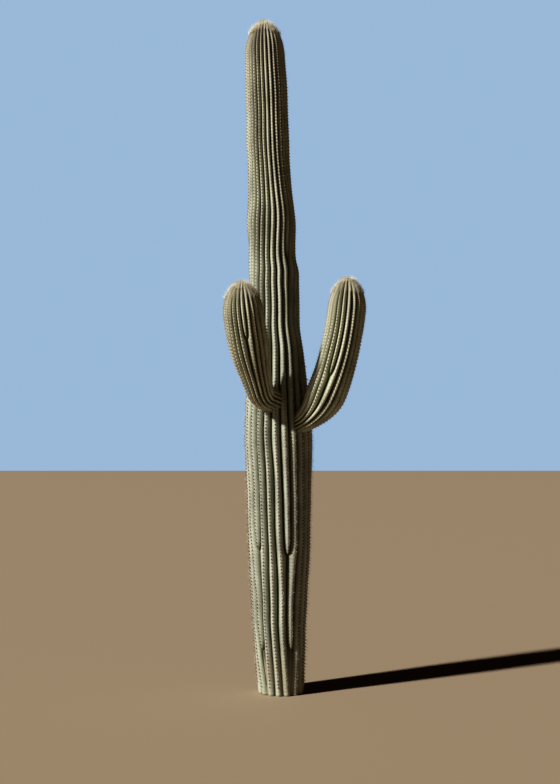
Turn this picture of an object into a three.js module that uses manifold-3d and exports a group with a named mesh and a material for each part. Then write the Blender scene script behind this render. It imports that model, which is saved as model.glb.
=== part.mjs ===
// Saguaro cactus, 5 m tall: a ribbed trunk with two upturned arms, in millimetres, +Z up.
// The origin is in the middle of the flat cut at ground level, and the front of the plant faces -Y.
// Every stem has pleated ribs. New ribs start in the grooves on the way up, so there are more of them
// at the top of a stem than at its foot.
import * as THREE from "three";
import { mergeVertices } from "three/addons/utils/BufferGeometryUtils.js";
import Module from "manifold-3d";

const wasm = await Module();
wasm.setup();

// Trunk: height of a station, radius over the rib crests there, how far the middle has leaned to -X, and
// turn of the first groove from +X towards +Y, in degrees
const TRUNK_STATIONS = [
  { height: 0, radius: 168, lean: 0, turn: 7 },
  { height: 450, radius: 188, lean: 11, turn: 7.5 },
  { height: 1000, radius: 221, lean: 13, turn: 1.5 },
  { height: 1560, radius: 237, lean: 16, turn: -1.5 },
  { height: 1850, radius: 246, lean: 18, turn: -4.5 },
  { height: 2120, radius: 230, lean: 26, turn: -3.5 },
  { height: 2480, radius: 206, lean: 38, turn: -1.5 },
  { height: 2680, radius: 187, lean: 48, turn: -3.5 },
  { height: 2960, radius: 186, lean: 51, turn: -2.5 },
  { height: 3070, radius: 186, lean: 53, turn: 0.5 },
  { height: 3170, radius: 176, lean: 63, turn: 2.5 },
  { height: 3290, radius: 175, lean: 67, turn: 4 },
  { height: 3440, radius: 182, lean: 72, turn: 5 },
  { height: 3530, radius: 176, lean: 74, turn: 5.5 },
  { height: 3700, radius: 162, lean: 83, turn: 6 },
  { height: 3880, radius: 156, lean: 90, turn: 5.5 },
  { height: 4060, radius: 160, lean: 98, turn: 5 },
  { height: 4240, radius: 154, lean: 102, turn: 4.5 },
  { height: 4420, radius: 156, lean: 108, turn: 4.5 },
  { height: 4690, radius: 150, lean: 119, turn: 4 },
  { height: 4965, radius: 143, lean: 126, turn: 4 },
];
const TRUNK_TOP = 4965;
const TRUNK_DOME = 250;

// Arms. Each bends in one upright plane.
//   heading: turn of that plane from the front towards +X
//   shift: how far it passes beside the trunk's middle
//   rootLean, uprightLean: degrees off upright at the trunk and where the elbow ends
//   bend: radius of the elbow's middle line
//   elbowEnd: its distance from the trunk's middle, and its height
//   upright: length above the elbow; the higher straightening is, the later it comes upright
//   radius: over the rib crests above the shoulder
//   neckShare: radius at the trunk as a share of that
//   shoulder: length over which the neck swells to the full radius
//   ribPhase: turn from the outer side to the first groove
//   births: new ribs, by their height above the elbow and their turn from the first groove
const ARMS = [
  {
    name: "left_arm",
    heading: -24,
    shift: 33,
    rootLean: 81,
    bend: 126,
    elbowEnd: { away: 387, height: 2186 },
    uprightLean: 32.5,
    upright: 764,
    straightening: 2,
    radius: 142,
    neckShare: 0.64,
    shoulder: 500,
    ribPhase: 2,
    births: [
      { above: 410, turn: 20 },
      { above: 20, turn: 165 },
      { above: 120, turn: 250 },
      { above: 200, turn: 100 },
      { above: 360, turn: 305 },
      { above: 450, turn: 180 },
      { above: 500, turn: 70 },
    ],
  },
  {
    name: "right_arm",
    heading: 47.5,
    shift: 4,
    rootLean: 72.5,
    bend: 455,
    elbowEnd: { away: 466, height: 2149 },
    uprightLean: 30.5,
    upright: 827,
    straightening: 0.9,
    radius: 142,
    neckShare: 0.55,
    shoulder: 360,
    ribPhase: 0,
    births: [
      { above: 157, turn: 292 },
      { above: 20, turn: 80 },
      { above: 240, turn: 160 },
      { above: 400, turn: 30 },
    ],
  },
];
const ARM_TIP_TAPER = 0.09; // share of the radius lost between the shoulder and the dome
const ARM_DOME = 205;
const ARM_ROOT = 220; // straight root inside the trunk, cut away by the trunk's surface

// Ribs
const TRUNK_FOOT_RIBS = 16;
const ARM_FOOT_RIBS = 17;
const RIB_DEPTH_SHARE = 0.56; // depth of a groove as a share of the distance between ribs
const FOOT_DEPTH_SHARE = 0.3; // the same at the ground, where the ribs have flattened
const YOUNG_DEPTH_SHARE = 0.7; // and on the arms and the upper trunk
const FOOT_FLAT_HEIGHT = 700;
const YOUNG_HEIGHTS = [1900, 2900]; // the trunk passes from old to young between these
const RIB_ROUNDNESS = 1.7; // power of the fall from crest to groove
const RIB_START_POWER = 0.4; // power of a new rib's rise with its share
const BIRTH_LENGTH = 90; // a new rib swells out of its groove over this length
const BIRTH_ROOM_BELOW = 420; // its neighbours make room for it from here below its start
const BIRTH_ROOM_ABOVE = 220; // to here above it

// Where new ribs start on the trunk: the height, and the turn from the first groove, so that the front
// is at about 270 degrees and the right side at 0.
const TRUNK_BIRTHS = [
  { at: 320, turn: 231 },
  { at: 320, turn: 302 },
  { at: 900, turn: 90 },
  { at: 950, turn: 150 },
  { at: 1000, turn: 287 },
  { at: 1035, turn: 226 },
  { at: 2750, turn: 200 },
  { at: 3150, turn: 315 },
  { at: 3250, turn: 180 },
  { at: 3420, turn: 75 },
  { at: 3620, turn: 150 },
  { at: 3780, turn: 345 },
  { at: 3950, turn: 110 },
];

// Fineness of the faceted surface
const POINTS_PER_RIB = 4;
const TRUNK_RINGS = 32;
const UPRIGHT_RINGS = 8;
const ELBOW_RINGS = 7;
const DOME_RINGS = 6;

const CLEARANCE = 0.4; // gap between the flat ends of two lengths of an arm
const CUT_GROWTH = 0.9; // a stem grows this much to cut its neighbour, which leaves 0.2 to 0.9 mm

// Spine cap on each tip: felt with the densest, palest spines
const CAP_RADIUS = 46;
const CAP_RISE = 12;
const CAP_RINGS = 4;
const CAP_SIDES = 14;
const SPINE_RINGS = [
  { tilt: 12, count: 4 },
  { tilt: 40, count: 7 },
  { tilt: 68, count: 10 },
];
const SPINE_SIDES = 3;
const SPINE_LENGTH = 26;
const SPINE_THICKNESS = 5;
const SPINE_SUNK = 7;

const MERGE_DISTANCE = 1e-3;
const DEG = Math.PI / 180;
const TURN = 2 * Math.PI;

const skin = new THREE.MeshStandardMaterial({ color: 0x7f8b62, roughness: 0.62, metalness: 0 });
const armSkin = new THREE.MeshStandardMaterial({ color: 0x86915f, roughness: 0.62, metalness: 0 });
const spines = new THREE.MeshStandardMaterial({ color: 0xd9cda8, roughness: 0.75, metalness: 0 });

function smoothStep(from, to, x) {
  return THREE.MathUtils.smoothstep(x, from, to);
}

// Rises steeply and then levels off, as a quarter of an ellipse does.
function bluntStart(from, to, x) {
  if (x >= to) return 1;
  const t = Math.max(0, (x - from) / (to - from));
  return Math.sqrt(1 - (1 - t) ** 2);
}

// A smooth curve through the stations, read at one height.
function alongStations(stations, height, key) {
  const last = stations.length - 2;
  let i = 0;
  while (i < last && stations[i + 1].height < height) i += 1;
  const [a, b] = [stations[i], stations[i + 1]];
  const before = stations[Math.max(i - 1, 0)];
  const after = stations[Math.min(i + 2, stations.length - 1)];
  const span = b.height - a.height;
  const slopeA = (b[key] - before[key]) / (b.height - before.height);
  const slopeB = (after[key] - a[key]) / (after.height - a.height);
  const t = (height - a.height) / span;
  return (
    a[key] * (1 + 2 * t) * (1 - t) ** 2 +
    b[key] * t * t * (3 - 2 * t) +
    slopeA * span * t * (1 - t) ** 2 -
    slopeB * span * t * t * (1 - t)
  );
}

// Ribs round a stem, in order. A rib with a birth starts at that length along the stem.
function makeRibs(footRibs, births) {
  const ribs = Array.from({ length: footRibs }, () => ({ birth: -Infinity }));
  for (const { at, turn } of [...births].sort((a, b) => a.at - b.at)) {
    const wanted = THREE.MathUtils.euclideanModulo(turn * DEG, TURN);
    const { grooves } = ribLines(ribs, at);
    let nearest = 1;
    for (let i = 1; i < ribs.length; i += 1) {
      if (Math.abs(grooves[i] - wanted) < Math.abs(grooves[nearest] - wanted)) nearest = i;
    }
    ribs.splice(nearest, 0, { birth: at });
  }
  return ribs;
}

// Angles of the crests and of the grooves between them, with one groove more that closes the turn. A new
// rib has a place from well below its start, where its neighbours part to make room for it, and swells out
// of the groove between them. Shares say how far each rib has swollen.
function ribLines(ribs, along) {
  const places = ribs.map(({ birth }) =>
    smoothStep(birth - BIRTH_ROOM_BELOW, birth + BIRTH_ROOM_ABOVE, along),
  );
  const swollen = ribs.map(({ birth }) => bluntStart(birth, birth + BIRTH_LENGTH, along));
  const pitch = TURN / places.reduce((sum, place) => sum + place, 0);
  const borders = [0];
  for (const place of places) borders.push(borders.at(-1) + place * pitch);
  const crests = ribs.map((_, i) => (borders[i] + borders[i + 1]) / 2);
  const grooves = borders.map((border, i) => {
    if (i === 0 || i === ribs.length) return border;
    const towardsNext = (1 - swollen[i]) * (crests[i] - border);
    const towardsLast = (1 - swollen[i - 1]) * (border - crests[i - 1]);
    return border + towardsNext - towardsLast;
  });
  const shares = places.map((place, i) => place * swollen[i]);
  return { crests, grooves, shares, pitch };
}

// Angle and radius of each corner of a stem's section: groove, flank, crest and flank of every rib.
function sectionOf(stem, along, grow) {
  const { crests, grooves, shares, pitch } = ribLines(stem.ribs, along);
  const radius = stem.radiusAt(along);
  const depth = stem.depthShareAt(along) * pitch * radius;
  const section = [];
  shares.forEach((share, i) => {
    const rise = depth * share ** RIB_START_POWER;
    for (let k = 0; k < POINTS_PER_RIB; k += 1) {
      const across = (2 * k) / POINTS_PER_RIB - 1; // from -1 at one groove to 1 at the next
      const groove = across < 0 ? grooves[i] : grooves[i + 1];
      section.push({
        angle: THREE.MathUtils.lerp(crests[i], groove, Math.abs(across)),
        radius: radius - depth + rise * (1 - Math.abs(across) ** RIB_ROUNDNESS) + grow,
      });
    }
  });
  return section;
}

// Half an ellipse over the last stretch of a stem.
function domed(radius, along, length, dome) {
  const into = Math.max(0, along - (length - dome)) / dome;
  return radius * Math.sqrt(Math.max(0, 1 - into * into));
}

// Places along a stem for its rings: even steps, then steps that close up towards the tip.
function ringPlaces(from, to, steps, dome) {
  const places = [];
  const body = to - dome;
  for (let i = 0; i <= steps; i += 1) places.push(THREE.MathUtils.lerp(from, body, i / steps));
  for (let i = 1; dome > 0 && i < DOME_RINGS; i += 1) {
    places.push(body + dome * Math.sin((Math.PI / 2) * (i / DOME_RINGS)));
  }
  return places;
}

// Closed solid of a stem between two places. A domed end closes in one point at the tip.
function stemSolid(stem, from, to, steps, dome, grow = 0) {
  const points = [];
  const faces = [];
  const rings = ringPlaces(from, to, steps, dome).map((along) => {
    const { middle, out, side } = stem.frameAt(along);
    return sectionOf(stem, along, grow).map(({ angle, radius }) => {
      const point = middle
        .clone()
        .addScaledVector(out, radius * Math.cos(angle))
        .addScaledVector(side, radius * Math.sin(angle));
      return points.push(point) - 1;
    });
  });
  const foot = points.push(stem.frameAt(from).middle) - 1;
  const end = stem.frameAt(to);
  const tip = points.push(end.middle.clone().addScaledVector(end.along, dome > 0 ? grow : 0)) - 1;
  const around = rings[0].length;
  for (let j = 0; j < around; j += 1) {
    const k = (j + 1) % around;
    faces.push([foot, rings[0][k], rings[0][j]]);
    for (let i = 0; i + 1 < rings.length; i += 1) {
      faces.push([rings[i][j], rings[i][k], rings[i + 1][k]]);
      faces.push([rings[i][j], rings[i + 1][k], rings[i + 1][j]]);
    }
    faces.push([tip, rings.at(-1)[j], rings.at(-1)[k]]);
  }
  const geometry = new THREE.BufferGeometry().setFromPoints(points);
  geometry.setIndex(faces.flat());
  return solidOf(geometry);
}

// A closed geometry as a solid. Faces that have collapsed, as where a rib hasn't started, are dropped.
function solidOf(geometry) {
  const bare = new THREE.BufferGeometry();
  bare.setAttribute("position", geometry.getAttribute("position"));
  bare.setIndex(geometry.index);
  const merged = mergeVertices(bare, MERGE_DISTANCE);
  const kept = [];
  for (let i = 0; i < merged.index.count; i += 3) {
    const [a, b, c] = merged.index.array.subarray(i, i + 3);
    if (a !== b && b !== c && c !== a) kept.push(a, b, c);
  }
  return new wasm.Manifold(
    new wasm.Mesh({
      numProp: 3,
      vertProperties: merged.attributes.position.array,
      triVerts: new Uint32Array(kept),
    }),
  );
}

// The main piece of a cut: crumbs left standing in the grooves of the trunk are dropped.
function largestPiece(solid) {
  return solid.decompose().reduce((best, piece) => (piece.volume() > best.volume() ? piece : best));
}

function meshOf(name, solid, material) {
  const { vertProperties, triVerts } = solid.getMesh();
  const geometry = new THREE.BufferGeometry();
  geometry.setAttribute("position", new THREE.BufferAttribute(vertProperties, 3));
  geometry.setIndex(new THREE.BufferAttribute(triVerts, 1));
  geometry.computeVertexNormals();
  const mesh = new THREE.Mesh(geometry, material);
  mesh.name = name;
  return mesh;
}

// Trunk: level sections round a middle line that leans, from the flat cut to the tip.
function makeTrunk() {
  const up = new THREE.Vector3(0, 0, 1);
  return {
    ribs: makeRibs(TRUNK_FOOT_RIBS, TRUNK_BIRTHS),
    radiusAt: (along) =>
      domed(alongStations(TRUNK_STATIONS, along, "radius"), along, TRUNK_TOP, TRUNK_DOME),
    depthShareAt: (along) => {
      const young = smoothStep(...YOUNG_HEIGHTS, along);
      const grown = THREE.MathUtils.lerp(RIB_DEPTH_SHARE, YOUNG_DEPTH_SHARE, young);
      return THREE.MathUtils.lerp(FOOT_DEPTH_SHARE, grown, smoothStep(0, FOOT_FLAT_HEIGHT, along));
    },
    frameAt: (along) => {
      const turn = alongStations(TRUNK_STATIONS, along, "turn") * DEG;
      const out = new THREE.Vector3(Math.cos(turn), Math.sin(turn), 0);
      return {
        middle: new THREE.Vector3(-alongStations(TRUNK_STATIONS, along, "lean"), 0, along),
        along: up,
        out,
        side: new THREE.Vector3().crossVectors(up, out),
      };
    },
  };
}

// Arm: a straight root, an elbow on a circular arc, and an upright that straightens evenly to its tip.
function makeArm({
  heading,
  shift,
  rootLean,
  bend,
  elbowEnd,
  uprightLean,
  upright,
  straightening,
  radius,
  neckShare,
  shoulder,
  ribPhase,
  births,
}) {
  const elbow = ARM_ROOT + bend * (rootLean - uprightLean) * DEG;
  const length = elbow + upright;
  const birthsAlong = births.map(({ above, turn }) => ({ at: elbow + above, turn }));
  const leanAt = (along) => {
    const past = along - elbow;
    if (past >= 0) return uprightLean * DEG * (1 - (past / upright) ** straightening);
    return Math.min(rootLean * DEG, uprightLean * DEG - past / bend);
  };
  // The middle line in the arm's own plane, stepped off both ways from the end of the elbow.
  const placeAt = (along) => {
    const steps = 64;
    const run = (along - elbow) / steps;
    const place = { ...elbowEnd };
    for (let i = 0; i < steps; i += 1) {
      const lean = leanAt(elbow + run * (i + 0.5));
      place.away += Math.sin(lean) * run;
      place.height += Math.cos(lean) * run;
    }
    return place;
  };
  const outward = new THREE.Vector3(Math.sin(heading * DEG), -Math.cos(heading * DEG), 0);
  const up = new THREE.Vector3(0, 0, 1);
  const side = new THREE.Vector3().crossVectors(up, outward);
  const foot = new THREE.Vector3(-alongStations(TRUNK_STATIONS, elbowEnd.height, "lean"), 0, 0);
  foot.addScaledVector(side, shift);
  return {
    ribs: makeRibs(ARM_FOOT_RIBS, birthsAlong),
    length,
    elbow,
    radiusAt: (along) => {
      const swell = smoothStep(ARM_ROOT, ARM_ROOT + shoulder, along);
      const taper = (ARM_TIP_TAPER * Math.max(0, along - ARM_ROOT - shoulder)) / upright;
      const full = radius * THREE.MathUtils.lerp(neckShare, 1, swell) * (1 - taper);
      return domed(full, along, length, ARM_DOME);
    },
    depthShareAt: () => YOUNG_DEPTH_SHARE,
    frameAt: (along) => {
      const lean = leanAt(along);
      const { away, height } = placeAt(along);
      const upward = new THREE.Vector3()
        .addScaledVector(outward, Math.sin(lean))
        .addScaledVector(up, Math.cos(lean));
      const out = new THREE.Vector3()
        .crossVectors(side, upward)
        .multiplyScalar(Math.cos(ribPhase * DEG))
        .addScaledVector(side, Math.sin(ribPhase * DEG));
      return {
        middle: foot.clone().addScaledVector(outward, away).addScaledVector(up, height),
        along: upward,
        out,
        side: new THREE.Vector3().crossVectors(upward, out),
      };
    },
  };
}

// Spine cap: a low felt dome cut to the tip, with slender three-sided spines fanned out of it.
function capSolid(stem, length, tipSolid) {
  const { middle, along } = stem.frameAt(length);
  // The dome's rim lies one rise below the stem's tip, and its top one rise above.
  const domeHeight = (share) => CAP_RISE * (2 * share - 1);
  const profile = [new THREE.Vector2(0, -2 * CAP_RISE)];
  for (let i = 0; i < CAP_RINGS; i += 1) {
    const angle = (Math.PI / 2) * (i / CAP_RINGS);
    profile.push(new THREE.Vector2(CAP_RADIUS * Math.cos(angle), domeHeight(Math.sin(angle))));
  }
  profile.push(new THREE.Vector2(0, domeHeight(1)));
  const uprightTurn = new THREE.Quaternion().setFromUnitVectors(new THREE.Vector3(0, 1, 0), along);
  const place = new THREE.Matrix4().compose(middle, uprightTurn, new THREE.Vector3(1, 1, 1));
  let cap = solidOf(new THREE.LatheGeometry(profile, CAP_SIDES).applyMatrix4(place));
  for (const { tilt, count } of SPINE_RINGS) {
    for (let i = 0; i < count; i += 1) {
      const spine = new THREE.ConeGeometry(
        SPINE_THICKNESS / 2,
        SPINE_LENGTH + SPINE_SUNK,
        SPINE_SIDES,
      );
      spine.translate(0, (SPINE_LENGTH - SPINE_SUNK) / 2, 0);
      spine.rotateZ(-tilt * DEG);
      spine.translate(CAP_RADIUS * Math.sin(tilt * DEG), domeHeight(Math.cos(tilt * DEG)), 0);
      spine.rotateY((TURN * (i + tilt / 90)) / count);
      spine.applyMatrix4(place);
      cap = cap.add(solidOf(spine));
    }
  }
  return cap.subtract(tipSolid);
}

const plant = new THREE.Group();
plant.name = "saguaro";

const trunk = makeTrunk();
const trunkSolid = (grow) => stemSolid(trunk, 0, TRUNK_TOP, TRUNK_RINGS, TRUNK_DOME, grow);
plant.add(meshOf("trunk", trunkSolid(0), skin));
plant.add(meshOf("trunk_spine_cap", capSolid(trunk, TRUNK_TOP, trunkSolid(CUT_GROWTH)), spines));

for (const shape of ARMS) {
  const arm = makeArm(shape);
  const rooted = stemSolid(arm, 0, arm.elbow, ELBOW_RINGS, 0);
  const elbow = largestPiece(rooted.subtract(trunkSolid(CUT_GROWTH)));
  const uprightSolid = (grow) =>
    stemSolid(arm, arm.elbow + CLEARANCE, arm.length, UPRIGHT_RINGS, ARM_DOME, grow);
  const cap = capSolid(arm, arm.length, uprightSolid(CUT_GROWTH));
  plant.add(meshOf(`${shape.name}_elbow`, elbow, armSkin));
  plant.add(meshOf(shape.name, uprightSolid(0), armSkin));
  plant.add(meshOf(`${shape.name}_spine_cap`, cap, spines));
}

export default plant;
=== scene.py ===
# Saguaro cactus, 5 m tall: a ribbed trunk with two upturned arms, in metres, +Z up, its front to -Y.
import math
import random
from types import SimpleNamespace

import bmesh
import bpy
import numpy as np
from mathutils import Matrix, Vector, noise


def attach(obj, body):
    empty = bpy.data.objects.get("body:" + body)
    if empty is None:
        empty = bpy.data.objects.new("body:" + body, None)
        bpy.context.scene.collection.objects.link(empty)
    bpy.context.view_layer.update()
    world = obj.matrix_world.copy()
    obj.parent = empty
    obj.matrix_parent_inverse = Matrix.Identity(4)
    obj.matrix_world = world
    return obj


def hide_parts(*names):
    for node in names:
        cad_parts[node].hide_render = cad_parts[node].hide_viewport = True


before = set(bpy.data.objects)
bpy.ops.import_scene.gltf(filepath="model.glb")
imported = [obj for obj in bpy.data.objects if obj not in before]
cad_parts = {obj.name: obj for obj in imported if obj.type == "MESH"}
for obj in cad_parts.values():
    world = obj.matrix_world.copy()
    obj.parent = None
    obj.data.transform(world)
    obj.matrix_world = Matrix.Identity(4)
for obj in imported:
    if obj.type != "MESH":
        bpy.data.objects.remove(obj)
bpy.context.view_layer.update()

# Camera
# It stands where the photographer stood, 8 m in front of the plant with the lens at eye height, and
# looks up a little, so that the tip just fits in the picture.
EYE = (-0.0073, -8.0249, 1.6655)
LOOK_UP = math.radians(3.678)
LENS = 50  # mm
SENSOR_WIDTH = 36  # mm

camera_data = bpy.data.cameras.new("photo_view")
camera_data.lens = LENS
camera_data.sensor_width = SENSOR_WIDTH
camera = bpy.data.objects.new("photo_view", camera_data)
camera.location = EYE
camera.rotation_euler = (math.radians(90) + LOOK_UP, 0, 0)
bpy.context.scene.collection.objects.link(camera)
bpy.context.scene.camera = camera

# Trunk skin
# The trunk is a column of watery flesh in a thick waxy skin, pleated into ribs that open and close like
# a bellows as it drinks and dries. It rises straight out of the ground, and new ribs start in the
# grooves on the way up. The skin is one sheet rolled round a leaning middle line.
TRUNK_STATIONS = [  # height, radius over the crests, lean of the middle to -X, turn of the first groove
    (0.000, 0.168, 0.000, 7.0),
    (0.450, 0.188, 0.011, 7.5),
    (1.000, 0.221, 0.013, 1.5),
    (1.560, 0.237, 0.016, -1.5),
    (1.850, 0.246, 0.018, -4.5),
    (2.120, 0.230, 0.026, -3.5),
    (2.480, 0.206, 0.038, -1.5),
    (2.680, 0.187, 0.048, -3.5),
    (2.960, 0.186, 0.051, -2.5),
    (3.070, 0.186, 0.053, 0.5),
    (3.170, 0.176, 0.063, 2.5),
    (3.290, 0.175, 0.067, 4.0),
    (3.440, 0.182, 0.072, 5.0),
    (3.530, 0.176, 0.074, 5.5),
    (3.700, 0.162, 0.083, 6.0),
    (3.880, 0.156, 0.090, 5.5),
    (4.060, 0.160, 0.098, 5.0),
    (4.240, 0.154, 0.102, 4.5),
    (4.420, 0.156, 0.108, 4.5),
    (4.690, 0.150, 0.119, 4.0),
    (4.965, 0.143, 0.126, 4.0),
]
TRUNK_TOP = 4.965
TRUNK_DOME = 0.250
TRUNK_FOOT_RIBS = 16
TRUNK_BIRTHS = [  # where a new rib starts: height, and turn from the first groove in degrees
    (0.320, 231),
    (0.320, 302),
    (0.900, 90),
    (0.950, 150),
    (1.000, 287),
    (1.035, 226),
    (2.750, 200),
    (3.150, 315),
    (3.250, 180),
    (3.420, 75),
    (3.620, 150),
    (3.780, 345),
    (3.950, 110),
]
TRUNK_DEPTHS = {  # by height: depth of a groove as a share of the distance between ribs
    0.0: 0.34,
    0.6: 0.58,
    1.9: 0.58,
    2.9: 0.72,
    3.5: 0.74,
    4.4: 0.95,
}
RIB_ROUNDNESS = 1.95  # power of the fall from crest to groove
RIB_START_POWER = 0.4  # power of a new rib's rise with its width
BIRTH_LENGTH = 0.090  # a new rib swells out of its groove over this length
BIRTH_ROOM_BELOW = 0.420  # its neighbours make room for it from here below its start
BIRTH_ROOM_ABOVE = 0.220  # to here above it
WANDER_SHARE = 0.08  # how far a groove strays from its line, as a share of a rib
WANDER_LENGTH = 0.33
WANDER_APART = 3.7  # between two grooves, so that each strays in its own way
RIB_SPREAD = [0, 0.07, 0.19, 0.34, 0.5, 0.66, 0.81, 0.93]  # places of the points across a rib
TRUNK_ROWS = 350
DOME_ROWS = 30
SWELL_DEPTH = 0.0035  # the skin's slow swells and hollows
SWELL_SIZE = 0.22
SWELL_RADIUS = 0.1  # they fade where the stem is thinner than this
MERGE_DISTANCE = 1e-5
AREOLE_SPACING = 0.024  # between the spine clusters on a rib
TIP_SPACING = 0.012  # the same at the tip, where the newest ones are still close together
TIP_REACH = 0.45  # length over which they draw together
BEAT_STEP = 0.002
# Each list holds a groove, a flank and a crest colour. The near-black groove colours are painted shade in
# the grooves; the flank and crest colours are the skin's own.
OLD_SKIN_AND_GROOVE_SHADE = [(0.055, 0.055, 0.032), (0.30, 0.34, 0.235), (0.41, 0.42, 0.36)]  # groove, flank and crest
YOUNG_SKIN_AND_GROOVE_SHADE = [(0.024, 0.021, 0.012), (0.24, 0.265, 0.16), (0.41, 0.41, 0.33)]
# Near the tips the grooves and flanks are painted darker still, as painted shade of the crowded spines;
# the crest colour is the skin's own.
TIP_SKIN_AND_SHADE = [(0.014, 0.011, 0.008), (0.22, 0.215, 0.145), (0.44, 0.42, 0.34)]
TRUNK_CHANGES = [(2.6, 3.7, YOUNG_SKIN_AND_GROOVE_SHADE), (4.2, 4.8, TIP_SKIN_AND_SHADE)]  # between which heights, and to what
# The painted groove shade passes into the flank colour over this span up the rib.
GROOVE_SHADE_EDGE = (0.12, 0.58)  # where on the way up a rib the groove's colour passes into the flank's
CREST_EDGE = (0.42, 0.84)  # and the flank's into the crest's
MOTTLE = (9, (1, 1, 0.45), 5)  # scale, stretch and detail of each pattern
STREAKS = (60, (1, 1, 0.12), 3)
GRAIN = (420, (1, 1, 1), 2)
WRINKLES = (140, (0.25, 0.25, 1.6), 4)
MOTTLE_RANGE = (0.35, 0.7)  # values of its pattern between which each sets in
STREAK_RANGE = (0.5, 0.75)
CORK_RANGE = (0.3, 0.6)  # of the mottle's pattern
GRAIN_RANGE = (0.3, 0.7)
MOTTLE_SHARE = 0.35  # of the groove's colour in the patches
STREAK_SHARE = 0.3  # of the crest's colour in the streaks
CORK_COLOUR = (0.33, 0.31, 0.23)
CORK_HEIGHT = 0.45  # patches of cork grow on the foot below this
SKIN_ROUGHNESS = (0.50, 0.72)  # from one end of the grain's range to the other
HUMP_SHARE = 0.35  # shares of the relief
WRINKLE_SHARE = 0.5
GRAIN_SHARE = 0.25
RELIEF_DEPTH = 0.002
RELIEF_STRENGTH = 0.8
UP = Vector((0, 0, 1))


def smooth_step(start, end, x):
    t = min(1.0, max(0.0, (x - start) / (end - start)))
    return t * t * (3 - 2 * t)


def blunt_start(start, end, x):
    t = min(1.0, max(0.0, (x - start) / (end - start)))
    return math.sqrt(1 - (1 - t) ** 2)


def mixed(a, b, share):
    return a + (b - a) * share


def along_stations(stations, height, column):
    """A smooth curve through the stations, read at one height."""
    last = len(stations) - 2
    i = 0
    while i < last and stations[i + 1][0] < height:
        i += 1
    before, a, b = stations[max(i - 1, 0)], stations[i], stations[i + 1]
    after = stations[min(i + 2, len(stations) - 1)]
    span = b[0] - a[0]
    slope_a = (b[column] - before[column]) / (b[0] - before[0])
    slope_b = (after[column] - a[column]) / (after[0] - a[0])
    t = (height - a[0]) / span
    return (
        a[column] * (1 + 2 * t) * (1 - t) ** 2
        + b[column] * t * t * (3 - 2 * t)
        + slope_a * span * t * (1 - t) ** 2
        - slope_b * span * t * t * (1 - t)
    )


def rib_lines(ribs, along):
    """Angles of the crests and of the grooves between them, with one groove more that closes the turn.

    A new rib has a place from well below its start, where its neighbours part to make room for it, and
    swells out of the groove between them. Shares say how far each rib has swollen.
    """
    places = [
        1.0 if birth is None else smooth_step(birth - BIRTH_ROOM_BELOW, birth + BIRTH_ROOM_ABOVE, along)
        for birth in ribs
    ]
    swollen = [
        1.0 if birth is None else blunt_start(birth, birth + BIRTH_LENGTH, along)
        for birth in ribs
    ]
    pitch = math.tau / sum(places)
    count = len(ribs)
    borders = [0.0]
    for place in places:
        borders.append(borders[-1] + place * pitch)
    for i, border in enumerate(borders):
        spot = Vector((i % count * WANDER_APART, along / WANDER_LENGTH, count))
        borders[i] = border + noise.noise(spot) * WANDER_SHARE * pitch
    crests = [(borders[i] + borders[i + 1]) / 2 for i in range(count)]
    grooves = [borders[0]]
    for i in range(1, count):
        before, border, after = crests[i - 1], borders[i], crests[i]
        pushed_on = (1 - swollen[i]) * (after - border)
        pushed_back = (1 - swollen[i - 1]) * (border - before)
        grooves.append(border + pushed_on - pushed_back)
    grooves.append(borders[count])
    shares = [place * swell for place, swell in zip(places, swollen)]
    return SimpleNamespace(crests=crests, grooves=grooves, shares=shares, pitch=pitch)


def make_ribs(foot_ribs, births):
    """Ribs round a stem, in order, each with the place where it starts, or None from the foot up."""
    ribs = [None] * foot_ribs
    for at, turn in sorted(births):
        wanted = math.radians(turn) % math.tau
        grooves = rib_lines(ribs, at).grooves
        nearest = min(range(1, len(ribs)), key=lambda i: abs(grooves[i] - wanted))
        ribs.insert(nearest, at)
    return ribs


def domed(radius, along, length, dome):
    """Half an ellipse over the last stretch of a stem."""
    into = max(0.0, along - (length - dome)) / dome
    return radius * math.sqrt(max(0.0, 1 - into * into))


def ring_at(stem, along):
    """What the ribs are like at one place along a stem."""
    lines = rib_lines(stem.ribs, along)
    radius = stem.radius_at(along)
    return SimpleNamespace(
        lines=lines,
        radius=radius,
        depth=stem.depth_share_at(along) * lines.pitch * radius,
        frame=stem.frame_at(along),
    )


def skin_point(ring, rib, across):
    """A point of the skin: how far across one rib, from groove to groove, at a ring's place."""
    left, crest, right = ring.lines.grooves[rib], ring.lines.crests[rib], ring.lines.grooves[rib + 1]
    angle = mixed(left, crest, 2 * across) if across < 0.5 else mixed(crest, right, 2 * across - 1)
    share = ring.lines.shares[rib]
    height = 1 - abs(2 * across - 1) ** RIB_ROUNDNESS
    radius = ring.radius - ring.depth + ring.depth * share**RIB_START_POWER * height
    away = ring.frame.out * math.cos(angle) + ring.frame.side * math.sin(angle)
    point = ring.frame.middle + away * radius
    swell = noise.noise(point / SWELL_SIZE) * SWELL_DEPTH * min(1.0, ring.radius / SWELL_RADIUS)
    return point + away * swell, height * share


def count_beats(stem):
    """Number of spine clusters passed on the way along a crest, at small steps along the stem."""
    places = np.arange(0, stem.length + BEAT_STEP, BEAT_STEP)
    beats = [0.0]
    for start, end in zip(places, places[1:]):
        drop = stem.radius_at(min(end, stem.length)) - stem.radius_at(start)
        near_tip = smooth_step(stem.length - TIP_REACH, stem.length, start)
        spacing = mixed(AREOLE_SPACING, TIP_SPACING, near_tip)
        beats.append(beats[-1] + math.hypot(BEAT_STEP, drop) / spacing)
    return places, np.array(beats)


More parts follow.
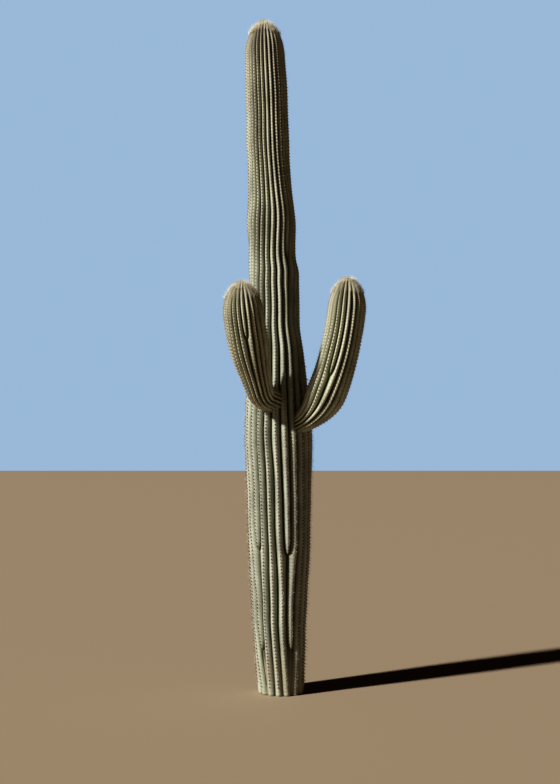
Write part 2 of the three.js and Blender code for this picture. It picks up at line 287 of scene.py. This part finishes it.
def make_stem(name, ribs, length, dome, radius_at, depth_share_at, frame_at):
    stem = SimpleNamespace(
        name=name,
        ribs=ribs,
        length=length,
        dome=dome,
        radius_at=radius_at,
        depth_share_at=depth_share_at,
        frame_at=frame_at,
    )
    stem.places, stem.beats = count_beats(stem)
    order = random.Random(name)
    stem.offsets = [order.random() for _ in ribs]  # where the clusters on each rib start
    return stem


def link_piece(name, mesh, material):
    mesh.materials.append(material)
    piece = bpy.data.objects.new(name, mesh)
    bpy.context.scene.collection.objects.link(piece)
    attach(piece, "root")
    return piece


def roll_skin(stem, rows, dome_rows):
    """The skin of a stem: a sheet of squares rolled round it, joined down the seam and at the tip."""
    body = stem.length - stem.dome
    places = [body * i / rows for i in range(rows)]
    places += [body + stem.dome * math.sin(math.pi / 2 * i / dome_rows) for i in range(dome_rows + 1)]
    across = [(rib, share) for rib in range(len(stem.ribs)) for share in RIB_SPREAD]
    across.append(across[0])
    sheet = bmesh.new()
    bmesh.ops.create_grid(sheet, x_segments=len(across) - 1, y_segments=len(places) - 1, size=0.5)
    crest_layer = sheet.verts.layers.float.new("crest")
    beat_layer = sheet.verts.layers.float.new("beat")
    rings = [ring_at(stem, along) for along in places]
    beats = np.interp(places, stem.places, stem.beats)
    for vert in sheet.verts:
        column = round((vert.co.x + 0.5) * (len(across) - 1))
        row = round((vert.co.y + 0.5) * (len(places) - 1))
        rib, share = across[column]
        vert.co, vert[crest_layer] = skin_point(rings[row], rib, share)
        vert[beat_layer] = beats[row] - stem.offsets[rib]
    bmesh.ops.remove_doubles(sheet, verts=sheet.verts, dist=MERGE_DISTANCE)
    bmesh.ops.holes_fill(sheet, edges=[edge for edge in sheet.edges if edge.is_boundary], sides=0)
    bmesh.ops.recalc_face_normals(sheet, faces=sheet.faces)
    for face in sheet.faces:
        face.smooth = True
    mesh = bpy.data.meshes.new(stem.name)
    sheet.to_mesh(mesh)
    sheet.free()
    return mesh


def skin_finish(name, lowest, changes):
    """Waxy skin, mottled and finely wrinkled.

    Its colours are the painted shade of the grooves and the colours of the flanks and crests, and pass
    on the way up from the lowest ones to those of each change.
    """
    material = bpy.data.materials.new(name)
    material.use_nodes = True
    tree = material.node_tree
    shader = tree.nodes["Principled BSDF"]
    add, join = tree.nodes.new, tree.links.new

    def reading(attribute):
        node = add("ShaderNodeAttribute")
        node.attribute_name = attribute
        return node.outputs["Fac"]

    def patches(scale, stretch, detail):
        mapping = add("ShaderNodeMapping")
        mapping.inputs["Scale"].default_value = stretch
        join(add("ShaderNodeTexCoord").outputs["Object"], mapping.inputs["Vector"])
        node = add("ShaderNodeTexNoise")
        node.inputs["Scale"].default_value = scale
        node.inputs["Detail"].default_value = detail
        join(mapping.outputs["Vector"], node.inputs["Vector"])
        return node.outputs["Fac"]

    def worked(operation, first, second):
        node = add("ShaderNodeMath")
        node.operation = operation
        for socket, value in zip(node.inputs, (first, second)):
            if isinstance(value, (int, float)):
                socket.default_value = value
            else:
                join(value, socket)
        return node.outputs["Value"]

    def tinted(share, first, second):
        node = add("ShaderNodeMix")
        node.data_type = "RGBA"
        join(share, node.inputs["Factor"])
        for socket, value in zip((node.inputs["A"], node.inputs["B"]), (first, second)):
            if isinstance(value, tuple):
                socket.default_value = (*value, 1)
            else:
                join(value, socket)
        return node.outputs["Result"]

    def ranged(value, low, high, low_out=0.0, high_out=1.0):
        node = add("ShaderNodeMapRange")
        node.interpolation_type = "SMOOTHSTEP"
        node.inputs["From Min"].default_value = low
        node.inputs["From Max"].default_value = high
        node.inputs["To Min"].default_value = low_out
        node.inputs["To Max"].default_value = high_out
        join(value, node.inputs["Value"])
        return node.outputs["Result"]

    crest = reading("crest")
    mottle = patches(*MOTTLE)
    streaks = patches(*STREAKS)
    grain = patches(*GRAIN)
    height = add("ShaderNodeSeparateXYZ")
    join(add("ShaderNodeTexCoord").outputs["Object"], height.inputs["Vector"])

    colours = lowest
    for start, end, higher in changes:
        passed = ranged(height.outputs["Z"], start, end)
        colours = [tinted(passed, below, above) for below, above in zip(colours, higher)]
    groove_shade_colour, flank_colour, crest_colour = colours
    # Painted shade: the grooves are coloured near black, and this passes into the flank colour up each
    # rib.
    colour = tinted(ranged(crest, *GROOVE_SHADE_EDGE), groove_shade_colour, flank_colour)
    colour = tinted(ranged(crest, *CREST_EDGE), colour, crest_colour)
    colour = tinted(ranged(mottle, *MOTTLE_RANGE, 0.0, MOTTLE_SHARE), colour, groove_shade_colour)
    colour = tinted(ranged(streaks, *STREAK_RANGE, 0.0, STREAK_SHARE), colour, crest_colour)
    near_foot = ranged(height.outputs["Z"], CORK_HEIGHT, 0.0)
    cork = worked("MULTIPLY", near_foot, ranged(mottle, *CORK_RANGE))
    colour = tinted(cork, colour, CORK_COLOUR)
    join(colour, shader.inputs["Base Color"])
    join(ranged(grain, *GRAIN_RANGE, *SKIN_ROUGHNESS), shader.inputs["Roughness"])

    # Low humps on the crest, one under each cluster, over fine wrinkles and grain.
    hump = worked("MULTIPLY", worked("COSINE", worked("MULTIPLY", reading("beat"), math.tau), 0), crest)
    relief = worked("MULTIPLY", hump, HUMP_SHARE)
    relief = worked("ADD", relief, worked("MULTIPLY", patches(*WRINKLES), WRINKLE_SHARE))
    relief = worked("ADD", relief, worked("MULTIPLY", grain, GRAIN_SHARE))
    bump = add("ShaderNodeBump")
    bump.inputs["Distance"].default_value = RELIEF_DEPTH
    bump.inputs["Strength"].default_value = RELIEF_STRENGTH
    join(relief, bump.inputs["Height"])
    join(bump.outputs["Normal"], shader.inputs["Normal"])
    return material


def trunk_radius(along):
    return domed(along_stations(TRUNK_STATIONS, along, 1), along, TRUNK_TOP, TRUNK_DOME)


def trunk_depth_share(along):
    return float(np.interp(along, list(TRUNK_DEPTHS), list(TRUNK_DEPTHS.values())))


def trunk_frame(along):
    turn = math.radians(along_stations(TRUNK_STATIONS, along, 3))
    out = Vector((math.cos(turn), math.sin(turn), 0))
    middle = Vector((-along_stations(TRUNK_STATIONS, along, 2), 0, along))
    return SimpleNamespace(middle=middle, out=out, side=UP.cross(out))


trunk = make_stem(
    name="trunk_skin",
    ribs=make_ribs(TRUNK_FOOT_RIBS, TRUNK_BIRTHS),
    length=TRUNK_TOP,
    dome=TRUNK_DOME,
    radius_at=trunk_radius,
    depth_share_at=trunk_depth_share,
    frame_at=trunk_frame,
)
trunk_finish = skin_finish("trunk_skin", OLD_SKIN_AND_GROOVE_SHADE, TRUNK_CHANGES)
trunk_skin = link_piece("trunk_skin", roll_skin(trunk, TRUNK_ROWS, DOME_ROWS), trunk_finish)
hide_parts("trunk")

# Arms
# An arm leaves the trunk through a narrow neck, turns up in an elbow and then straightens slowly. It is
# built like the trunk, but starts with fewer ribs than the trunk has beside it, and its younger skin is a
# fresher green.
ARM_TIP_TAPER = 0.09  # share of the radius lost between the shoulder and the dome
ARM_DOME = 0.205
ARM_ROOT = 0.220  # straight root inside the trunk
ARM_FOOT_RIBS = 17
ARM_DEPTH_SHARE = 0.90
ARM_ROWS = 120
ARM_STEPS = 64
# Groove, flank and crest colours of the arms: the near-black groove colour is painted shade, as on the
# trunk; the flank and crest colours are the skin's own.
ARM_SKIN_AND_GROOVE_SHADE = [(0.022, 0.019, 0.010), (0.22, 0.26, 0.14), (0.47, 0.47, 0.38)]
ARM_CHANGES = [(2.65, 3.05, TIP_SKIN_AND_SHADE)]


def make_arm(
    name,
    heading,  # turn from the front towards +X of the plane that it bends in
    shift,  # how far that plane passes beside the middle of the trunk
    root_lean,  # degrees off upright at the trunk
    bend,  # radius of the elbow's middle line
    away,  # where the elbow ends: its distance from the middle of the trunk
    height,  # and its height
    upright_lean,  # degrees off upright there
    upright,  # length above the elbow
    straightening,  # the higher it is, the later the arm comes upright
    radius,  # over the rib crests above the shoulder
    neck_share,  # radius at the trunk as a share of that
    shoulder,  # length over which the neck swells to the full radius
    rib_phase,  # turn from the outer side to the first groove
    births,  # new ribs: height above the elbow, and turn from the first groove
):
    heading, root_lean, upright_lean, rib_phase = (
        math.radians(angle) for angle in (heading, root_lean, upright_lean, rib_phase)
    )
    elbow = ARM_ROOT + bend * (root_lean - upright_lean)
    length = elbow + upright
    outward = Vector((math.sin(heading), -math.cos(heading), 0))
    side = UP.cross(outward)
    foot = side * shift - Vector((along_stations(TRUNK_STATIONS, height, 2), 0, 0))

    def lean_at(along):
        past = along - elbow
        if past >= 0:
            return upright_lean * (1 - (past / upright) ** straightening)
        return min(root_lean, upright_lean - past / bend)

    def radius_at(along):
        swell = smooth_step(ARM_ROOT, ARM_ROOT + shoulder, along)
        taper = ARM_TIP_TAPER * max(0.0, along - ARM_ROOT - shoulder) / upright
        return domed(radius * mixed(neck_share, 1, swell) * (1 - taper), along, length, ARM_DOME)

    def frame_at(along):
        # The middle line is stepped off both ways from the end of the elbow.
        run = (along - elbow) / ARM_STEPS
        leans = [lean_at(elbow + run * (i + 0.5)) for i in range(ARM_STEPS)]
        reach = away + run * sum(math.sin(lean) for lean in leans)
        rise = height + run * sum(math.cos(lean) for lean in leans)
        lean = lean_at(along)
        onward = outward * math.sin(lean) + UP * math.cos(lean)
        out = side.cross(onward) * math.cos(rib_phase) + side * math.sin(rib_phase)
        return SimpleNamespace(
            middle=foot + outward * reach + UP * rise,
            out=out,
            side=onward.cross(out),
        )

    return make_stem(
        name=name,
        ribs=make_ribs(ARM_FOOT_RIBS, [(elbow + above, turn) for above, turn in births]),
        length=length,
        dome=ARM_DOME,
        radius_at=radius_at,
        depth_share_at=lambda along: ARM_DEPTH_SHARE,
        frame_at=frame_at,
    )


left_arm = make_arm(
    name="left_arm_skin",
    heading=-24,
    shift=0.033,
    root_lean=81,
    bend=0.126,
    away=0.387,
    height=2.186,
    upright_lean=32.5,
    upright=0.764,
    straightening=2,
    radius=0.142,
    neck_share=0.64,
    shoulder=0.500,
    rib_phase=2,
    births=[
        (0.020, 165),
        (0.120, 250),
        (0.200, 100),
        (0.360, 305),
        (0.410, 20),
        (0.450, 180),
        (0.500, 70),
    ],
)
right_arm = make_arm(
    name="right_arm_skin",
    heading=47.5,
    shift=0.004,
    root_lean=72.5,
    bend=0.455,
    away=0.466,
    height=2.149,
    upright_lean=30.5,
    upright=0.827,
    straightening=0.9,
    radius=0.142,
    neck_share=0.55,
    shoulder=0.360,
    rib_phase=0,
    births=[(0.020, 80), (0.157, 292), (0.240, 160), (0.400, 30)],
)
arm_finish = skin_finish("arm_skin", ARM_SKIN_AND_GROOVE_SHADE, ARM_CHANGES)
for arm, nodes in (
    (left_arm, ("left_arm", "left_arm_elbow")),
    (right_arm, ("right_arm", "right_arm_elbow")),
):
    arm_skin = link_piece(arm.name, roll_skin(arm, ARM_ROWS, DOME_ROWS), arm_finish)
    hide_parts(*nodes)

# Areoles
# An areole is a small oval pad of felt, and they sit in a row along the crest of every rib, where they
# grow with it. Each is a low cone, dark and weathered low on the trunk, grey above that, and pale and
# woolly towards the top and on the arms.
AREOLE_LOWEST = 0.060
AREOLE_RIB_SHARE = 0.5  # a new rib bears none until it has reached this share of its width
TIP_CLEAR = 0.030  # radius round each tip that the crown covers
PAD_TOP_SHARE = 0.6
PAD_HEIGHT = 0.0034
PAD_SUNK = 0.0010
PAD_STRETCH = 1.3  # longer along the rib than across it
PAD_SIDES = 6
OLD_HEIGHTS = (1.85, 2.55)  # on the trunk the dark old areoles give way to grey ones between these
GREY_HEIGHTS = (3.50, 4.40)  # and those to woolly young ones between these
PAD_ROUGHNESS = 0.95
PROBE = 0.003  # the slope of the skin is felt out this far along the rib
PROBE_ACROSS = 0.15  # and this far across it, as a share of the rib


def areole_kind(stem, along, order):
    if stem is not trunk:
        return "arm"
    if order.random() > smooth_step(*OLD_HEIGHTS, along):
        return "old"
    return "grey" if order.random() > smooth_step(*GREY_HEIGHTS, along) else "young"


def areole_places(stem):
    """Place and set of each areole: sideways, along the rib and outwards."""
    order = random.Random(stem.name)
    found = []
    for rib, birth in enumerate(stem.ribs):
        beats = np.arange(stem.offsets[rib], stem.beats[-1])
        for along in np.interp(beats, stem.beats, stem.places):
            if birth is not None and along < birth:
                continue
            here = ring_at(stem, along)
            if here.lines.shares[rib] < AREOLE_RIB_SHARE or here.radius < TIP_CLEAR:
                continue
            point, _ = skin_point(here, rib, 0.5)
            if point.z < AREOLE_LOWEST:
                continue
            probe = PROBE if along + PROBE < stem.length else -PROBE
            beyond, _ = skin_point(ring_at(stem, along + probe), rib, 0.5)
            onward = (beyond - point).normalized() * math.copysign(1, probe)
            left, _ = skin_point(here, rib, 0.5 - PROBE_ACROSS)
            right, _ = skin_point(here, rib, 0.5 + PROBE_ACROSS)
            outward = (right - left).cross(onward).normalized()
            found.append(
                SimpleNamespace(
                    kind=areole_kind(stem, along, order),
                    point=point,
                    turn=Matrix((onward.cross(outward), onward, outward)).transposed(),
                    below_tip=stem.length - along,
                    pitch=here.lines.pitch * here.radius,
                )
            )
    return found


def tiled_mesh(name, shapes, places):
    """One mesh of many small shapes. A place is a shape's number, a 3x3 turn and size, and a point."""
    points, corners, sizes = [], [], []
    start = 0
    for number, (verts, faces) in enumerate(shapes):
        mine = [place for place in places if place[0] == number]
        if not mine:
            continue
        turns = np.array([turn for _, turn, _ in mine])
        spots = np.array([spot for _, _, spot in mine])
        block = np.einsum("nij,vj->nvi", turns, verts) + spots[:, None, :]
        points.append(block.reshape(-1, 3))
        shifts = start + len(verts) * np.arange(len(mine))
        for face in faces:
            corners.append((shifts[:, None] + np.array(face)[None, :]).reshape(-1))
            sizes.append(np.full(len(mine), len(face)))
        start += len(verts) * len(mine)
    points, corners, sizes = (np.concatenate(part) for part in (points, corners, sizes))
    mesh = bpy.data.meshes.new(name)
    mesh.vertices.add(len(points))
    mesh.vertices.foreach_set("co", points.ravel())
    mesh.loops.add(len(corners))
    mesh.loops.foreach_set("vertex_index", corners)
    mesh.polygons.add(len(sizes))
    mesh.polygons.foreach_set("loop_start", np.concatenate(([0], np.cumsum(sizes)[:-1])))
    mesh.update()
    return mesh


def shape_arrays(shape):
    """Corner places and faces of a small shape, which is freed."""
    shape.verts.ensure_lookup_table()
    verts = np.array([vert.co[:] for vert in shape.verts])
    faces = [[vert.index for vert in face.verts] for face in shape.faces]
    shape.free()
    return verts, faces


def plain_finish(name, colour, roughness):
    material = bpy.data.materials.new(name)
    material.use_nodes = True
    shader = material.node_tree.nodes["Principled BSDF"]
    shader.inputs["Base Color"].default_value = (*colour, 1)
    shader.inputs["Roughness"].default_value = roughness
    return material


areoles = areole_places(trunk) + areole_places(left_arm) + areole_places(right_arm)


def of_kind(kind):
    return [areole for areole in areoles if areole.kind == kind]


# Kind, colour of the felt and radius
for kind, colour, radius in (
    ("old", (0.045, 0.036, 0.028), 0.0052),
    ("grey", (0.26, 0.24, 0.18), 0.0044),
    ("young", (0.42, 0.39, 0.30), 0.0048),
    ("arm", (0.38, 0.34, 0.24), 0.0048),
):
    pad = bmesh.new()
    bmesh.ops.create_cone(
        pad,
        cap_ends=True,
        segments=PAD_SIDES,
        radius1=radius,
        radius2=radius * PAD_TOP_SHARE,
        depth=PAD_HEIGHT,
        matrix=Matrix.Translation((0, 0, PAD_HEIGHT / 2 - PAD_SUNK)),
    )
    bmesh.ops.scale(pad, vec=(1, PAD_STRETCH, 1), verts=pad.verts)
    pad_shape = shape_arrays(pad)
    places = [(0, np.array(areole.turn), areole.point) for areole in of_kind(kind)]
    name = f"{kind}_pads"
    felt = plain_finish(name, colour, PAD_ROUGHNESS)
    pads = link_piece(name, tiled_mesh(name, [pad_shape], places), felt)

# Spines
# Every areole bears a star of stiff woody spines: a fringe of short ones spread flat against the skin,
# and a few longer ones that stand out. They are cream, straw or rust brown when young, and weather to
# grey. Round each tip they crowd together and stand up in a brush.
SPINE_SIDES = 3
SPINE_ROOT = 0.0015  # sunk in the felt
SPINE_SPACING = (0.2, 0.8)  # where in its share of the turn each spine of a star stands
SPINE_ROUGHNESS = 0.55
STAR_PATTERNS = 8
STAR_SIZES = (0.82, 1.0)
STAR_TURN = 25  # a star is turned by up to so many degrees either way
FRINGE_PITCH = 0.044  # the fringe shrinks where the ribs are closer together than this
NEEDLE_REACH = 0.0914  # more needles stand round each tip, down to here below it
BRUSH_REACH = 0.105  # and the brush reaches down to here
SPINE_SEED = 21

dice = random.Random(SPINE_SEED)


def make_star(number, tilts, turns, lengths, thickness):
    """One star of spines on the origin. A turn of 0 points down the rib, and outwards is up."""
    star = bmesh.new()
    for i in range(number):
        length = dice.uniform(*lengths)
        tilt = math.radians(dice.uniform(*tilts))
        turn = math.radians(mixed(*turns, (i + dice.uniform(*SPINE_SPACING)) / number) - 90)
        bmesh.ops.create_cone(
            star,
            cap_ends=True,
            segments=SPINE_SIDES,
            radius1=thickness / 2,
            radius2=0,
            depth=length,
            matrix=(
                Matrix.Rotation(turn, 4, "Z")
                @ Matrix.Rotation(tilt, 4, "Y")
                @ Matrix.Translation((0, 0, length / 2 - SPINE_ROOT))
            ),
        )
    bmesh.ops.remove_doubles(star, verts=star.verts, dist=MERGE_DISTANCE)
    return shape_arrays(star)


def make_stars(*shape):
    return [make_star(*shape) for _ in range(STAR_PATTERNS)]


# Number, tilts from straight out, turns, lengths and thickness
old_fringe = make_stars(9, (58, 82), (-180, 180), (0.009, 0.015), 0.0013)
young_fringe = make_stars(13, (62, 84), (-180, 180), (0.007, 0.012), 0.0012)
old_needles = make_stars(6, (20, 66), (-120, 120), (0.022, 0.038), 0.0017)
grey_fringe = make_stars(11, (68, 86), (-180, 180), (0.006, 0.010), 0.0012)
grey_needles = make_stars(2, (16, 60), (-150, 150), (0.012, 0.022), 0.0013)
tip_needles = make_stars(9, (4, 56), (-180, 180), (0.012, 0.022), 0.0012)
trunk_brush = make_stars(7, (34, 66), (155, 205), (0.034, 0.054), 0.0012)
arm_brush = make_stars(7, (20, 62), (140, 220), (0.024, 0.042), 0.0012)
young_needles = make_stars(3, (8, 46), (-180, 180), (0.013, 0.024), 0.0013)


def spread_spines(name, stars, tints, chosen, fits_pitch=False):
    """Stars on the chosen areoles, dealt out to one mesh for each tint by its share."""
    names = [tint for tint, _, _ in tints]
    shares = [share for _, _, share in tints]
    dealt = {tint: [] for tint in names}
    for areole in chosen:
        size = dice.uniform(*STAR_SIZES)
        if fits_pitch:
            size *= min(1.0, areole.pitch / FRINGE_PITCH)
        turn = math.radians(dice.uniform(-STAR_TURN, STAR_TURN))
        turned = areole.turn @ Matrix.Rotation(turn, 3, "Z")
        tint = dice.choices(names, shares)[0]
        dealt[tint].append((dice.randrange(STAR_PATTERNS), np.array(turned) * size, areole.point))
    for tint, colour, _ in tints:
        full_name = f"{name}_{tint}"
        mesh = tiled_mesh(full_name, stars, dealt[tint])
        wood = plain_finish(full_name, colour, SPINE_ROUGHNESS)
        link_piece(full_name, mesh, wood)


spread_spines(
    "old_fringe",
    old_fringe,
    [("straw", (0.58, 0.55, 0.48), 0.6), ("grey", (0.34, 0.31, 0.27), 0.4)],
    of_kind("old"),
)
spread_spines(
    "old_needles",
    old_needles,
    [
        ("straw", (0.60, 0.55, 0.43), 0.40),
        ("rust", (0.34, 0.20, 0.13), 0.35),
        ("grey", (0.26, 0.22, 0.18), 0.25),
    ],
    of_kind("old"),
)
spread_spines(
    "grey_fringe",
    grey_fringe,
    [("straw", (0.46, 0.44, 0.36), 0.6), ("grey", (0.30, 0.27, 0.21), 0.4)],
    of_kind("grey"),
    fits_pitch=True,
)
spread_spines(
    "grey_needles",
    grey_needles,
    [("straw", (0.44, 0.41, 0.31), 0.5), ("rust", (0.30, 0.17, 0.09), 0.5)],
    of_kind("grey"),
)
spread_spines(
    "young_fringe",
    young_fringe,
    [("cream", (0.50, 0.49, 0.39), 0.7), ("straw", (0.40, 0.37, 0.27), 0.3)],
    of_kind("young"),
    fits_pitch=True,
)
spread_spines(
    "young_needles",
    young_needles,
    [("straw", (0.48, 0.43, 0.31), 0.65), ("rust", (0.32, 0.18, 0.09), 0.35)],
    of_kind("young"),
)
spread_spines(
    "arm_fringe",
    young_fringe,
    [("cream", (0.56, 0.52, 0.41), 0.6), ("tan", (0.40, 0.34, 0.23), 0.4)],
    of_kind("arm"),
    fits_pitch=True,
)
spread_spines(
    "arm_needles",
    young_needles,
    [("straw", (0.50, 0.43, 0.29), 0.45), ("rust", (0.34, 0.15, 0.06), 0.55)],
    of_kind("arm"),
)
spread_spines(
    "tip_needles",
    tip_needles,
    [("cream", (0.76, 0.72, 0.59), 0.75), ("tan", (0.50, 0.42, 0.28), 0.25)],
    [areole for areole in areoles if areole.below_tip < NEEDLE_REACH],
)
spread_spines(
    "trunk_brush",
    trunk_brush,
    [("cream", (0.70, 0.66, 0.54), 1.0)],
    [areole for areole in of_kind("young") if areole.below_tip < BRUSH_REACH],
)
spread_spines(
    "arm_brush",
    arm_brush,
    [("cream", (0.70, 0.67, 0.56), 0.8), ("tan", (0.50, 0.42, 0.28), 0.2)],
    [areole for areole in of_kind("arm") if areole.below_tip < BRUSH_REACH],
)

# Crowns
# The growing point of each stem is a low dome of cream wool under a tuft of the newest spines, which
# stand up and outwards and hide the skin.
CROWN_RADIUS = 0.046
CROWN_RISE = 0.006
CROWN_SINK = 0.030
CROWN_DROP = 0.016  # the rim's spines stand this much lower than those in the middle
CROWN_SPINES = 420
CROWN_SPINE_LENGTHS = (0.022, 0.040)
CROWN_SPINE_THICKNESS = 0.0012
CROWN_SPREAD = 68  # tilt of the rim's spines from straight up, in degrees
CROWN_UNEVENNESS = 14  # each spine's tilt strays by up to so many degrees either way
CROWN_TURN = math.radians(137.508)  # from one spine to the next, which spreads them evenly
CROWN_COLOUR = (0.72, 0.68, 0.53)
CROWN_ROUGHNESS = 0.9

crown_finish = plain_finish("crown_wool", CROWN_COLOUR, CROWN_ROUGHNESS)
for stem, node in (
    (trunk, "trunk_spine_cap"),
    (left_arm, "left_arm_spine_cap"),
    (right_arm, "right_arm_spine_cap"),
):
    tip = stem.frame_at(stem.length)
    place = Matrix((tip.out, tip.side, tip.out.cross(tip.side))).transposed().to_4x4()
    place.translation = tip.middle
    crown = bmesh.new()
    bmesh.ops.create_uvsphere(crown, u_segments=24, v_segments=12, radius=1)
    bmesh.ops.scale(crown, vec=(CROWN_RADIUS, CROWN_RADIUS, CROWN_RISE + CROWN_SINK), verts=crown.verts)
    bmesh.ops.translate(crown, vec=(0, 0, -CROWN_SINK), verts=crown.verts)
    for i in range(CROWN_SPINES):
        reach = math.sqrt((i + 0.5) / CROWN_SPINES)
        turn = i * CROWN_TURN
        tilt = math.radians(CROWN_SPREAD * reach + dice.uniform(-CROWN_UNEVENNESS, CROWN_UNEVENNESS))
        length = dice.uniform(*CROWN_SPINE_LENGTHS)
        bmesh.ops.create_cone(
            crown,
            cap_ends=True,
            segments=SPINE_SIDES,
            radius1=CROWN_SPINE_THICKNESS / 2,
            radius2=0,
            depth=length,
            matrix=(
                Matrix.Rotation(turn, 4, "Z")
                @ Matrix.Translation((CROWN_RADIUS * reach, 0, CROWN_RISE - CROWN_DROP * reach**2))
                @ Matrix.Rotation(tilt, 4, "Y")
                @ Matrix.Translation((0, 0, length / 2 - SPINE_ROOT))
            ),
        )
    bmesh.ops.transform(crown, matrix=place, verts=crown.verts)
    mesh = bpy.data.meshes.new(node)
    crown.to_mesh(mesh)
    crown.free()
    piece = link_piece(f"{node}_tuft", mesh, crown_finish)
    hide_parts(node)

# Floor and lights
# A flat tan floor runs out to the horizon under an even pale blue surround. One key light stands to the
# left of the front, a third of the way up, and a faint warm fill comes from all round.
FLOOR_SIZE = 400
FLOOR_COLOUR = (0.385, 0.305, 0.215)
FLOOR_ROUGHNESS = 0.9
KEY_TURN = math.radians(58)  # from the front towards the left
KEY_HEIGHT = math.radians(31)
KEY_SOFTNESS = math.radians(3)
KEY_STRENGTH = 4.3
KEY_COLOUR = (1.0, 0.975, 0.92)
BACKDROP_COLOUR = (0.28, 0.385, 0.515)
FILL_COLOUR = (1.0, 0.60, 0.46)
FILL_STRENGTH = 0.015

floor = bmesh.new()
bmesh.ops.create_grid(floor, x_segments=1, y_segments=1, size=FLOOR_SIZE / 2)
floor_mesh = bpy.data.meshes.new("floor")
floor.to_mesh(floor_mesh)
floor.free()
floor_mesh.materials.append(plain_finish("floor", FLOOR_COLOUR, FLOOR_ROUGHNESS))
floor_piece = bpy.data.objects.new("floor", floor_mesh)
bpy.context.scene.collection.objects.link(floor_piece)

key_data = bpy.data.lights.new("key_light", "SUN")
key_data.energy = KEY_STRENGTH
key_data.angle = KEY_SOFTNESS
key_data.color = KEY_COLOUR
key_light = bpy.data.objects.new("key_light", key_data)
key_light.rotation_euler = (math.radians(90) - KEY_HEIGHT, 0, -KEY_TURN)
bpy.context.scene.collection.objects.link(key_light)

# The camera sees the surround paler than it shines on the plant, as a lit wall far behind it would be.
surround = bpy.data.worlds.new("surround")
surround.use_nodes = True
surround_tree = surround.node_tree
fill = surround_tree.nodes["Background"]
fill.inputs["Color"].default_value = (*FILL_COLOUR, 1)
fill.inputs["Strength"].default_value = FILL_STRENGTH
backdrop = surround_tree.nodes.new("ShaderNodeBackground")
backdrop.inputs["Color"].default_value = (*BACKDROP_COLOUR, 1)
sight = surround_tree.nodes.new("ShaderNodeLightPath")
choice = surround_tree.nodes.new("ShaderNodeMixShader")
surround_tree.links.new(sight.outputs["Is Camera Ray"], choice.inputs["Fac"])
surround_tree.links.new(fill.outputs["Background"], choice.inputs[1])
surround_tree.links.new(backdrop.outputs["Background"], choice.inputs[2])
surround_tree.links.new(choice.outputs["Shader"], surround_tree.nodes["World Output"].inputs["Surface"])
bpy.context.scene.world = surround
bpy.context.scene.view_settings.view_transform = "Standard"
bpy.context.scene.view_settings.look = "High Contrast"
